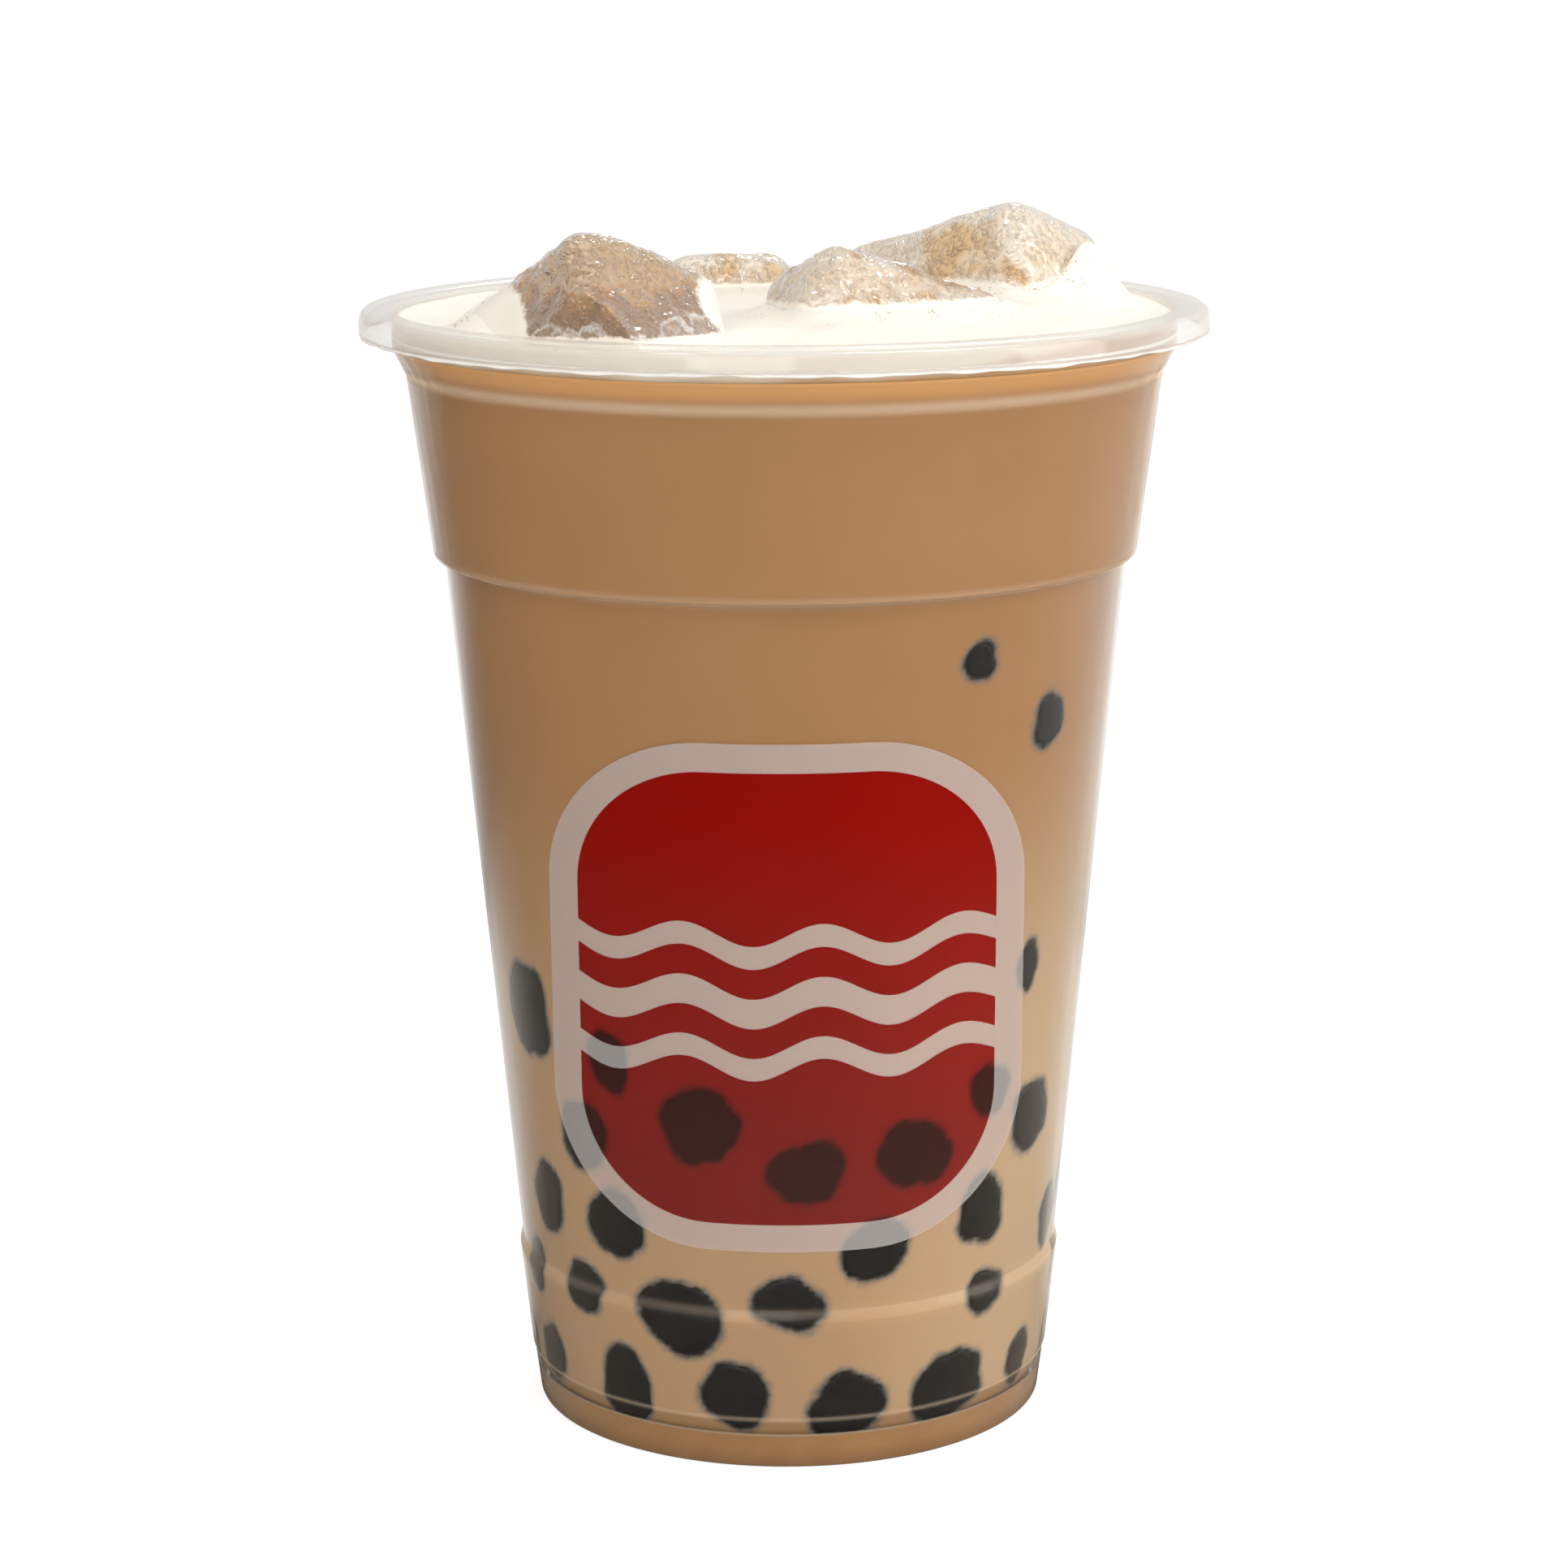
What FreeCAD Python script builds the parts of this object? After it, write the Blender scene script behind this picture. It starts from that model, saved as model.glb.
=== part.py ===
"""Iced milk tea with cream foam in a thin clear plastic cup, brim-full, with ice standing out of it.

The cup stands on z = 0 with its axis on +Z, and the front of its label faces -Y. Millimetres.
"""
import FreeCAD, Part
import os

import Sketcher

# --------------------------------------------------------------------------------------
# Driving sizes, in millimetres and degrees. The cup is a stack of rings: each height is that
# of one ring, and each flare is what the outer radius gains over it.
# --------------------------------------------------------------------------------------
SIZES = {
    # wall and floor of the moulded cup
    "wall": 0.6,
    "recess": 3.0,
    "floor_thickness": 0.9,
    "foot_width": 1.0,
    # heights, from the table up
    "heel_height": 5.9,
    "foot_height": 13.2,
    "body_height": 80.0,
    "band_height": 20.7,
    "flare_height": 2.9,
    "collar_height": 4.3,
    "skirt_depth": 3.2,
    # outer radius at the foot, and what it gains or loses from ring to ring
    "foot_radius": 29.3,
    "heel_flare": 0.75,
    "heel_step": 0.15,
    "foot_flare": 1.7,
    "stack_step": 0.75,
    "body_flare": 7.35,
    "ledge_step": 1.2,
    "band_flare": 2.7,
    "mouth_flare": 1.5,
    "rim_width": 3.6,
    # roundings of the cup
    "foot_rounding": 0.45,
    "floor_rounding": 1.6,
    "ring_rounding": 0.3,
    "band_rounding": 0.9,
    "neck_rounding": 2.0,
    "rim_rounding": 1.5,
    # the drink
    "brim_gap": 1.0,
    "foam_depth": 3.0,
    # ice
    "ice_taper": 3.0,
    "ice_rounding": 2.6,
    "ice_clearance": 0.5,
    "ice_headroom": 20.0,
    # the sticker
    "label_thickness": 0.15,
    "label_width": 52.0,
    "label_height": 58.0,
    "label_rise": 36.0,
    "label_corner": 17.0,
}

# Levels of the cup's rings, and the outer radius at each, as sums of those sizes.
STACK = "heel_height + foot_height"
LEDGE = STACK + " + body_height"
NECK = LEDGE + " + band_height"
MOUTH = NECK + " + flare_height"
RIM = MOUTH + " + collar_height"
LIP = RIM + " - skirt_depth"
FOAM = RIM + " - brim_gap"
FLOOR = "recess + floor_thickness"

HEEL_RADIUS = "foot_radius + heel_flare"
STACK_RADIUS = HEEL_RADIUS + " + heel_step + foot_flare"
WAIST_RADIUS = STACK_RADIUS + " - stack_step"
BODY_RADIUS = WAIST_RADIUS + " + body_flare"
BAND_RADIUS = BODY_RADIUS + " + ledge_step"
NECK_RADIUS = BAND_RADIUS + " + band_flare"
MOUTH_RADIUS = NECK_RADIUS + " + mouth_flare"
RIM_RADIUS = MOUTH_RADIUS + " + rim_width"

# Each piece of ice: length, width, height, where its middle lies (across, back and how far
# under the foam's surface) and its turns.
ICE_WORDS = ("length", "width", "height", "across", "back", "sink", "yaw", "pitch", "roll")
ICE = {
    "ice_front_left": (20.0, 28.0, 24.0, -21.3, -25.3, 6.5, 36.4, 21.7, -37.1),
    "ice_front_right": (25.5, 15.0, 16.0, 11.1, -5.7, 4.3, 22.6, 18.7, -25.5),
    "ice_back_left": (15.0, 16.5, 20.0, -6.4, 30.0, 7.4, 86.3, 16.4, -1.0),
    "ice_back_right": (17.5, 29.0, 20.0, 21.5, 18.4, 3.1, 46.5, 19.9, -17.0),
}

# Foam heaped against a piece of ice: offsets from the ice's middle, height and spread.
SWELL_WORDS = ("swell_across", "swell_back", "swell_height", "swell_spread")
SWELLS = {
    "ice_front_left": (-7.0, 8.0, 6.5, 8.0),
    "ice_back_right": (8.5, -6.5, 6.0, 9.0),
}
for table, words in ((ICE, ICE_WORDS), (SWELLS, SWELL_WORDS)):
    for name, values in table.items():
        SIZES.update({f"{name}_{word}": value for word, value in zip(words, values)})

doc = FreeCAD.newDocument("iced_milk_tea")
sheet = doc.addObject("Spreadsheet::Sheet", "Sizes")
for row, (alias, value) in enumerate(SIZES.items(), start=1):
    sheet.set(f"A{row}", alias)
    sheet.set(f"B{row}", str(value))
    sheet.setAlias(f"B{row}", alias)
doc.recompute()


# --------------------------------------------------------------------------------------
# Helpers: a formula is a sum of named sizes, such as "body_radius + ledge_step - wall"
# --------------------------------------------------------------------------------------
def total(formula):
    """The value in millimetres of a sum of named sizes; "0" is nought."""
    value, sign = 0.0, 1.0
    for word in formula.split():
        if word in ("+", "-"):
            sign = 1.0 if word == "+" else -1.0
        elif word != "0":
            value += sign * sheet.get(word)
    return value


def bound(formula):
    """The same sum written as an expression on the spreadsheet's cells."""
    return " ".join(f"Sizes.{word}" if word in SIZES else word for word in formula.split())


def origin_plane(body, role):
    """One of a body's own origin planes, found by its role."""
    return next(plane for plane in body.Origin.OriginFeatures if plane.Role == role)


def new_sketch(body, name, role):
    sketch = body.newObject("Sketcher::SketchObject", name)
    sketch.AttachmentSupport = (origin_plane(body, role), [""])
    sketch.MapMode = "FlatFace"
    return sketch


def add_bound(sketch, kind, first, second, formula):
    """A distance or radius that follows the spreadsheet."""
    index = sketch.addConstraint(Sketcher.Constraint(kind, *first, *second, total(formula)))
    sketch.setExpression(f"Constraints[{index}]", bound(formula))


def polygon(sketch, corners):
    """A closed outline whose corners each have their own bound distances from the two axes."""
    points = [FreeCAD.Vector(total(across), total(up), 0) for across, up in corners]
    for index, point in enumerate(points):
        sketch.addGeometry(Part.LineSegment(point, points[(index + 1) % len(points)]), False)
    for index, (across, up) in enumerate(corners):
        previous = (index - 1) % len(corners)
        sketch.addConstraint(Sketcher.Constraint("Coincident", previous, 2, index, 1))
        if across == "0":
            sketch.addConstraint(Sketcher.Constraint("PointOnObject", index, 1, -2))
        else:
            add_bound(sketch, "DistanceX", (-1, 1), (index, 1), across)
        if up == "0":
            sketch.addConstraint(Sketcher.Constraint("PointOnObject", index, 1, -1))
        else:
            add_bound(sketch, "DistanceY", (-1, 1), (index, 1), up)


def rectangle(sketch, width, height):
    """A rectangle centred on the sketch's origin."""
    half_wide, half_high = total(width) / 2, total(height) / 2
    corners = [
        FreeCAD.Vector(-half_wide, -half_high, 0),
        FreeCAD.Vector(half_wide, -half_high, 0),
        FreeCAD.Vector(half_wide, half_high, 0),
        FreeCAD.Vector(-half_wide, half_high, 0),
    ]
    for index, corner in enumerate(corners):
        sketch.addGeometry(Part.LineSegment(corner, corners[(index + 1) % 4]), False)
    for index in range(4):
        sketch.addConstraint(Sketcher.Constraint("Coincident", index, 2, (index + 1) % 4, 1))
        direction = "Horizontal" if index % 2 == 0 else "Vertical"
        sketch.addConstraint(Sketcher.Constraint(direction, index))
    sketch.addConstraint(Sketcher.Constraint("Symmetric", 0, 1, 2, 1, -1, 1))
    add_bound(sketch, "DistanceX", (0, 1), (0, 2), width)
    add_bound(sketch, "DistanceY", (1, 1), (1, 2), height)


def turned(body, name, corners, kind="PartDesign::Revolution"):
    """A section, drawn as radius and height, turned a full circle about the cup's axis."""
    sketch = new_sketch(body, name + "_section", "XZ_Plane")
    polygon(sketch, corners)
    feature = body.newObject(kind, name)
    feature.Profile = (sketch, [""])
    feature.ReferenceAxis = (sketch, ["V_Axis"])
    feature.Angle = 360
    sketch.Visibility = False
    doc.recompute()
    return feature


def rings(shape, places):
    """Names of the circular edges that lie at the given (radius, height) formulas."""
    found = []
    for radius, height in places:
        names = [
            f"Edge{number}"
            for number, edge in enumerate(shape.Edges, start=1)
            if isinstance(edge.Curve, Part.Circle)
            and abs(edge.Curve.Radius - total(radius)) < 0.01
            and abs(edge.Curve.Center.z - total(height)) < 0.01
        ]
        if not names:
            raise RuntimeError(f"no ring at radius {radius}, height {height}")
        found.extend(names)
    return found


def rounded(body, name, size, places):
    """Rounds the rings at the given places."""
    base = body.Tip
    feature = body.newObject("PartDesign::Fillet", name)
    feature.Base = (base, rings(base.Shape, places))
    feature.Radius = total(size)
    feature.setExpression("Radius", bound(size))
    doc.recompute()
    return feature


def boolean(kind, name, base, tool):
    feature = doc.addObject(kind, name)
    feature.Base = base
    feature.Tool = tool
    return feature


# --------------------------------------------------------------------------------------
# Cup: thin-walled, moulded in one piece, with a raised floor, a stacking ring, a wide band
# above a ledge, and a flat rolled rim
# --------------------------------------------------------------------------------------
OUTER_SECTION = [
    ("0", "recess"),
    ("foot_radius - foot_width", "recess"),
    ("foot_radius - foot_width", "0"),
    ("foot_radius", "0"),
    (HEEL_RADIUS, "heel_height"),
    (HEEL_RADIUS + " + heel_step", "heel_height"),
    (STACK_RADIUS, STACK),
    (WAIST_RADIUS, STACK),
    (BODY_RADIUS, LEDGE),
    (BAND_RADIUS, LEDGE),
    (NECK_RADIUS, NECK),
    (MOUTH_RADIUS, MOUTH),
    (MOUTH_RADIUS, RIM + " - wall"),
    (RIM_RADIUS + " - wall", RIM + " - wall"),
    (RIM_RADIUS + " - wall", LIP),
    (RIM_RADIUS, LIP),
    (RIM_RADIUS, RIM),
    ("0", RIM),
]

# The room inside the cup follows the outer section one wall thickness in.
INNER_SECTION = [
    ("0", FLOOR),
    ("foot_radius - wall", FLOOR),
    (HEEL_RADIUS + " - wall", "heel_height"),
    (STACK_RADIUS + " - wall", STACK + " - wall"),
    (WAIST_RADIUS + " - wall", STACK + " - wall"),
    (BODY_RADIUS + " - wall", LEDGE + " + wall"),
    (BAND_RADIUS + " - wall", LEDGE + " + wall"),
    (NECK_RADIUS + " - wall", NECK),
    (MOUTH_RADIUS + " - wall", MOUTH),
    (MOUTH_RADIUS + " - wall", RIM),
    ("0", RIM),
]


def round_inside(body, name):
    """The roundings of the inner face, which the cup's hollow and the drink share."""
    rounded(body, name + "_floor_rounding", "floor_rounding", INNER_SECTION[1:2])
    rounded(body, name + "_rings", "ring_rounding", INNER_SECTION[3:7])
    rounded(body, name + "_neck", "neck_rounding", INNER_SECTION[7:9])


def make_cup():
    body = doc.addObject("PartDesign::Body", "cup")
    turned(body, "cup_blank", OUTER_SECTION)
    rounded(body, "foot_edge", "foot_rounding", OUTER_SECTION[3:4])
    rounded(body, "outer_rings", "ring_rounding", OUTER_SECTION[6:9])
    rounded(body, "band_edge", "band_rounding", OUTER_SECTION[9:10])
    rounded(body, "neck_curve", "neck_rounding", OUTER_SECTION[10:12])
    rounded(body, "rim_underside", "rim_rounding - wall", OUTER_SECTION[13:14])
    rounded(body, "rim_shoulder", "rim_rounding", OUTER_SECTION[16:17])
    blank_volume = body.Tip.Shape.Volume
    turned(body, "hollow", INNER_SECTION, "PartDesign::Groove")
    if body.Tip.Shape.Volume > 0.3 * blank_volume:
        raise RuntimeError("the cup isn't hollow")
    round_inside(body, "hollow")
    rounded(body, "mouth_edge", "rim_rounding - wall", INNER_SECTION[9:10])
    return body


# --------------------------------------------------------------------------------------
# Ice: tapered blocks with melted edges, each trimmed where it leans on the cup's wall
# --------------------------------------------------------------------------------------
def make_ice_room():
    """The space that ice may take: the upper part of the cup, a clearance inside its wall."""
    body = doc.addObject("PartDesign::Body", "ice_room")
    turned(body, "ice_space", [
        ("0", LEDGE + " + wall"),
        (BODY_RADIUS + " - wall - ice_clearance", LEDGE + " + wall"),
        (NECK_RADIUS + " - wall - ice_clearance", NECK),
        (NECK_RADIUS + " - wall - ice_clearance", FOAM + " + ice_headroom"),
        ("0", FOAM + " + ice_headroom"),
    ])
    return body


def make_ice(name, room):
    """One block: a padded rectangle with its middle at the origin, rounded, placed and trimmed."""
    body = doc.addObject("PartDesign::Body", name + "_block")
    sketch = new_sketch(body, name + "_outline", "XY_Plane")
    sketch.setExpression("AttachmentOffset.Base.z", f"-{bound(name + '_height')} / 2")
    rectangle(sketch, name + "_length", name + "_width")
    pad = body.newObject("PartDesign::Pad", name + "_pad")
    pad.Profile = (sketch, [""])
    pad.Length = total(name + "_height")
    pad.setExpression("Length", bound(name + "_height"))
    pad.TaperAngle = -total("ice_taper")
    pad.setExpression("TaperAngle", "-" + bound("ice_taper"))
    sketch.Visibility = False
    doc.recompute()
    melted = body.newObject("PartDesign::Fillet", name + "_melted")
    melted.Base = (pad, [f"Edge{number}" for number in range(1, len(pad.Shape.Edges) + 1)])
    melted.Radius = total("ice_rounding")
    melted.setExpression("Radius", bound("ice_rounding"))
    body.setExpression("Placement.Base.x", bound(name + "_across"))
    body.setExpression("Placement.Base.y", bound(name + "_back"))
    body.setExpression("Placement.Base.z", bound(f"{FOAM} - {name}_sink"))
    turns = "; ".join(bound(f"{name}_{turn}") for turn in ("yaw", "pitch", "roll"))
    body.setExpression("Placement.Rotation", f"create(<<rotation>>; {turns})")
    doc.recompute()
    return boolean("Part::Common", name, body, room)


# --------------------------------------------------------------------------------------
# Drink: milk tea up to the underside of the foam, foam up to the brim, both cut round the ice
# --------------------------------------------------------------------------------------
def cup_filling(name):
    """A solid that fills the cup to its brim and lies against its inner face everywhere."""
    body = doc.addObject("PartDesign::Body", name)
    turned(body, name + "_turned", INNER_SECTION)
    round_inside(body, name)
    return body


def slab(name, foot, depth):
    """A disc wider than the cup, of the given depth, standing at the given height."""
    disc = doc.addObject("Part::Cylinder", name)
    disc.setExpression("Radius", bound(RIM_RADIUS))
    disc.setExpression("Height", bound(depth))
    disc.setExpression("Placement.Base.z", bound(foot))
    return disc


def foam_swell(ice):
    """Foam heaped against one side of a piece of ice: the upper half of an ellipsoid."""
    swell = doc.addObject("Part::Ellipsoid", ice + "_swell")
    swell.Angle1 = 0
    swell.setExpression("Radius1", bound(ice + "_swell_height"))
    swell.setExpression("Radius2", bound(ice + "_swell_spread"))
    swell.setExpression("Radius3", bound(ice + "_swell_spread"))
    swell.setExpression("Placement.Base.x", bound(f"{ice}_across + {ice}_swell_across"))
    swell.setExpression("Placement.Base.y", bound(f"{ice}_back + {ice}_swell_back"))
    swell.setExpression("Placement.Base.z", bound(FOAM))
    return swell


def make_drink(ice):
    all_ice = doc.addObject("Part::MultiFuse", "all_ice")
    all_ice.Shapes = ice
    foam_foot = FOAM + " - foam_depth"
    tea_filling = boolean(
        "Part::Common", "tea_filling", cup_filling("tea_room"), slab("tea_level", "0", foam_foot)
    )
    foam_filling = boolean(
        "Part::Common", "foam_filling", cup_filling("foam_room"), slab("foam_level", foam_foot, "foam_depth")
    )
    heaped_foam = doc.addObject("Part::MultiFuse", "heaped_foam")
    heaped_foam.Shapes = [foam_filling] + [foam_swell(name) for name in SWELLS]
    tea = boolean("Part::Cut", "tea", tea_filling, all_ice)
    foam = boolean("Part::Cut", "foam", heaped_foam, all_ice)
    return tea, foam


# --------------------------------------------------------------------------------------
# Label: a thin film with rounded corners, stuck on the straight cone of the cup's body
# --------------------------------------------------------------------------------------
def make_label():
    film = doc.addObject("PartDesign::Body", "label_film")
    turned(film, "label_band", [
        (WAIST_RADIUS, STACK),
        (WAIST_RADIUS + " + label_thickness", STACK),
        (BODY_RADIUS + " + label_thickness", LEDGE),
        (BODY_RADIUS, LEDGE),
    ])
    cutter = doc.addObject("PartDesign::Body", "label_cutter")
    sketch = new_sketch(cutter, "label_outline", "XZ_Plane")
    rectangle(sketch, "label_width", "label_height")
    sketch.setExpression("AttachmentOffset.Base.y", bound(STACK + " + label_rise"))
    pad = cutter.newObject("PartDesign::Pad", "label_pad")
    pad.Profile = (sketch, [""])
    pad.Length = total(RIM_RADIUS)
    pad.setExpression("Length", bound(RIM_RADIUS))
    sketch.Visibility = False
    doc.recompute()
    corners = [
        f"Edge{number}"
        for number, edge in enumerate(pad.Shape.Edges, start=1)
        if abs(edge.tangentAt(edge.FirstParameter).y) > 0.99
    ]
    rounding = cutter.newObject("PartDesign::Fillet", "label_corners")
    rounding.Base = (pad, corners)
    rounding.Radius = total("label_corner")
    rounding.setExpression("Radius", bound("label_corner"))
    doc.recompute()
    return boolean("Part::Common", "label", film, cutter)


# --------------------------------------------------------------------------------------
# Assembly, checks and files
# --------------------------------------------------------------------------------------
cup = make_cup()
ice_room = make_ice_room()
ice_pieces = [make_ice(name, ice_room) for name in ICE]
tea, foam = make_drink(ice_pieces)
label = make_label()
nodes = [cup, tea, foam, label] + ice_pieces
doc.recompute()

for feature in doc.Objects:
    if "Invalid" in feature.State or "Error" in feature.State:
        raise RuntimeError(f"{feature.Name} failed: {feature.State}")
os.makedirs("parts", exist_ok=True)
for node in nodes:
    node.Label = node.Name
    shape = node.Shape
    if shape.isNull() or not shape.isValid() or len(shape.Solids) != 1:
        raise RuntimeError(f"{node.Label} isn't one valid solid")
    shape.exportStep(os.path.join("parts", node.Label + ".step"))
    box = shape.BoundBox
    print(f"{node.Label}: {shape.Volume:.0f} mm3, x {box.XMin:.1f} to {box.XMax:.1f}, "
          f"y {box.YMin:.1f} to {box.YMax:.1f}, z {box.ZMin:.1f} to {box.ZMax:.1f}")
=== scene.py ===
"""Looks of an iced milk tea with cream foam, ice and tapioca balls in a thin clear cup.

Sizes are in millimetres and are turned to metres where a mesh is made. The cup's axis is +Z and
the front of its label faces -Y.
"""
import math

import bmesh
import bpy
import numpy as np
from mathutils import Euler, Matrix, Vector, noise
from mathutils.bvhtree import BVHTree


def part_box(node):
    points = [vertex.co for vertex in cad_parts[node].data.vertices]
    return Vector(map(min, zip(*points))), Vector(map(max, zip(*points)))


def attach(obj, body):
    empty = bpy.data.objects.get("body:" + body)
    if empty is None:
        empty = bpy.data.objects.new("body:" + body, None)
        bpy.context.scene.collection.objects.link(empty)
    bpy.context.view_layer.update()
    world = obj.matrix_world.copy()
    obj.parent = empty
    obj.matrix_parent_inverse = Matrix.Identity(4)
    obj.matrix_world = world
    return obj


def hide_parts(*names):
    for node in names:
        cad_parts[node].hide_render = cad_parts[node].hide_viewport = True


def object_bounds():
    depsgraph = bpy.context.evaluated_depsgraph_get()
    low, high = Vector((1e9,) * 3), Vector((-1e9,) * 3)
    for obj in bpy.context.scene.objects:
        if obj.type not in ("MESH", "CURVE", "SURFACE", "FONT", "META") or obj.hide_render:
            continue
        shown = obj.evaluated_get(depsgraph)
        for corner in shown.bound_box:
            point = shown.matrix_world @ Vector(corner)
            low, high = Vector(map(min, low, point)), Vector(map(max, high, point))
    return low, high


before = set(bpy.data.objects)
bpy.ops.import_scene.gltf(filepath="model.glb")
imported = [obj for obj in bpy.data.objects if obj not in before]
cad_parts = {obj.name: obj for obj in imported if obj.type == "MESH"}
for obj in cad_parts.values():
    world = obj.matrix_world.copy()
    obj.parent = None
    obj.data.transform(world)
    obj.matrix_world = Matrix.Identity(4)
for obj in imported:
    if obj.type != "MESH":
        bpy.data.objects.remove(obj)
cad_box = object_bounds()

MM = 0.001
TINY = 1e-9

# ---- Sizes shared with the construction, in millimetres ----
WALL = 0.6
FLOOR = 3.9
HEEL = 5.9
STACK = 19.1
LEDGE = 99.1
NECK = 119.8
MOUTH = 122.7
FOAM_FOOT = 123.0
FOAM = 126.0
MOUTH_RADIUS = 43.3
RING_RADIUS = 31.15  # where the cone of the body starts, above the stacking ring
LEDGE_RADIUS = 38.5  # where it ends, under the ledge
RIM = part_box("cup")[1].z / MM
RIM_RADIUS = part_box("cup")[1].x / MM
CAD_TOP = cad_box[1].z / MM
# how far the drink reaches into the wall: plastic bends sight so that a drink seems to fill it
INTO_WALL = 0.36
TEA_FOOT = FLOOR - 0.5
BALL_INTO_DRINK = 0.06
# how far a ball's middle is behind the wall, as a share of its depth
BALL_INSET = 0.62

# corners of the cup's inner face as radius, height and rounding, from the floor to the mouth
INNER_WALL = [
    (28.7, FLOOR, 1.6),
    (29.45, HEEL, 0.3),
    (30.9, 17.6, 0.5),
    (30.55, 18.5, 0.3),
    (37.9, 99.7, 0.3),
    (39.1, 99.7, 0.3),
    (41.8, NECK, 2.0),
    (MOUTH_RADIUS, MOUTH, 2.0),
]

# the outer face, from the rim down to the foot
OUTER_WALL = [
    (43.9, MOUTH, 2.0),
    (42.4, NECK, 2.0),
    (39.7, LEDGE, 0.9),
    (LEDGE_RADIUS, LEDGE, 0.3),
    (RING_RADIUS, STACK, 0.35),
    (31.5, STACK - 1.1, 1.0),
    (30.2, HEEL, 0.12),
    (30.05, HEEL, 0.1),
    (29.3, 0.0, 0.45),
]

# ice: length, width, height; middle across, back and up; yaw, pitch, roll
ICE = {
    "ice_front_left": ((20.0, 28.0, 24.0), (-21.3, -25.3, FOAM - 6.5), (36.4, 21.7, -37.1)),
    "ice_front_right": ((25.5, 15.0, 16.0), (11.1, -5.7, FOAM - 4.3), (22.6, 18.7, -25.5)),
    "ice_back_left": ((15.0, 16.5, 20.0), (-6.4, 30.0, FOAM - 7.4), (86.3, 16.4, -1.0)),
    "ice_back_right": ((17.5, 29.0, 20.0), (21.5, 18.4, FOAM - 3.1), (46.5, 19.9, -17.0)),
}
ICE_ROUNDING = 3.0
ICE_TAPER = math.tan(math.radians(3.0))
# each block: how far it swells past its plain shape, how amber it is, how dark its edges are
# painted, how high foam clings to it and how high foam is heaped at its foot
ICE_LOOK = {
    "ice_front_left": (1.2, 0.0, 0.0, 1.1, 0.0), "ice_front_right": (0.8, 0.75, 1.0, 2.0, 1.7),
    "ice_back_left": (0.6, 0.95, 0.5, 1.3, 0.8), "ice_back_right": (0.7, 1.0, 0.0, 2.4, 2.0),
}

# foam heaped against ice: across, back, height and spread
SWELLS = [(-29.5, -20.0, 5.5, 7.5), (36.0, 14.0, 5.5, 7.0)]
# ice quite covered by foam: across, back and up, and how far round that place
DRAPES = [(-36.0, -27.0, 125.0, 11.5), (39.0, 12.0, 123.0, 9.0), (-7.5, -21.0, 126.5, 6.5)]

# tapioca seen against the wall: degrees round from the front, height, width and height of its face
TAPIOCA = [
    (33.5, 92.1, 4.2, 4.8), (50.6, 84.0, 5.5, 5.9), (-59.7, 50.3, 8.6, 11.3),
    (-36.7, 46.3, 5.1, 6.5), (51.2, 55.7, 2.9, 6.5), (-44.3, 37.3, 6.6, 8.3),
    (42.5, 43.1, 5.5, 5.8), (56.6, 37.8, 7.5, 8.2), (-17.6, 40.7, 7.8, 8.3),
    (2.9, 35.5, 7.8, 7.4), (25.5, 36.7, 7.9, 7.6), (-59.3, 27.5, 6.6, 7.7),
    (-37.2, 27.4, 7.9, 7.4), (42.9, 28.2, 6.9, 7.6), (72.2, 23.4, 5.8, 6.9),
    (17.3, 25.8, 6.8, 7.0), (-68.4, 18.2, 4.3, 5.9), (-48.1, 18.6, 6.2, 6.0),
    (-23.4, 18.0, 9.0, 8.5), (0.3, 19.4, 8.1, 6.6), (45.9, 18.0, 6.0, 4.8),
    (-64.5, 8.4, 6.1, 6.9), (-38.1, 8.2, 7.1, 8.1), (-11.0, 8.7, 8.1, 8.0),
    (12.7, 7.8, 8.0, 7.8), (36.6, 8.2, 9.3, 8.9), (60.9, 7.9, 5.6, 6.1),
]
# rows of tapioca round the back: height and number
TAPIOCA_BEHIND = [
    (8.2, 8), (18.0, 7), (27.5, 6), (37.0, 5), (46.5, 3), (58.0, 1), (80.0, 1),
]


# ---- Helpers ----
def linear(colour):
    """An sRGB hex colour as the linear RGBA that sockets take."""
    channels = [int(colour[i:i + 2], 16) / 255 for i in (1, 3, 5)]
    return [c / 12.92 if c <= 0.04045 else ((c + 0.055) / 1.055) ** 2.4 for c in channels] + [1.0]


def add_node(tree, kind, inputs=None, **settings):
    """Adds a node with its settings; each input is given a value or another node's output."""
    node = tree.nodes.new(kind)
    for name, value in settings.items():
        setattr(node, name, value)
    for key, value in (inputs or {}).items():
        if isinstance(value, bpy.types.NodeSocket):
            tree.links.new(value, node.inputs[key])
        else:
            node.inputs[key].default_value = value
    return node


def calc(tree, operation, *values, clamp=False):
    """A sum on numbers and outputs of nodes."""
    node = add_node(
        tree, "ShaderNodeMath", dict(enumerate(values)), operation=operation, use_clamp=clamp
    )
    return node.outputs[0]


def times(tree, first, *others):
    """The product of two or more numbers or outputs of nodes."""
    for other in others:
        first = calc(tree, "MULTIPLY", first, other)
    return first


def vector(tree, operation, first, second, output="Vector"):
    node = add_node(tree, "ShaderNodeVectorMath", {0: first, 1: second}, operation=operation)
    return node.outputs[output]


def ramp(tree, value, start, end, to_start=0.0, to_end=1.0, smooth=False):
    """Brings a value from the range start to end into the range to_start to to_end."""
    node = add_node(
        tree, "ShaderNodeMapRange",
        {
            "Value": value, "From Min": start, "From Max": end,
            "To Min": to_start, "To Max": to_end,
        },
        interpolation_type="SMOOTHSTEP" if smooth else "LINEAR",
    )
    return node.outputs[0]


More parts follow.
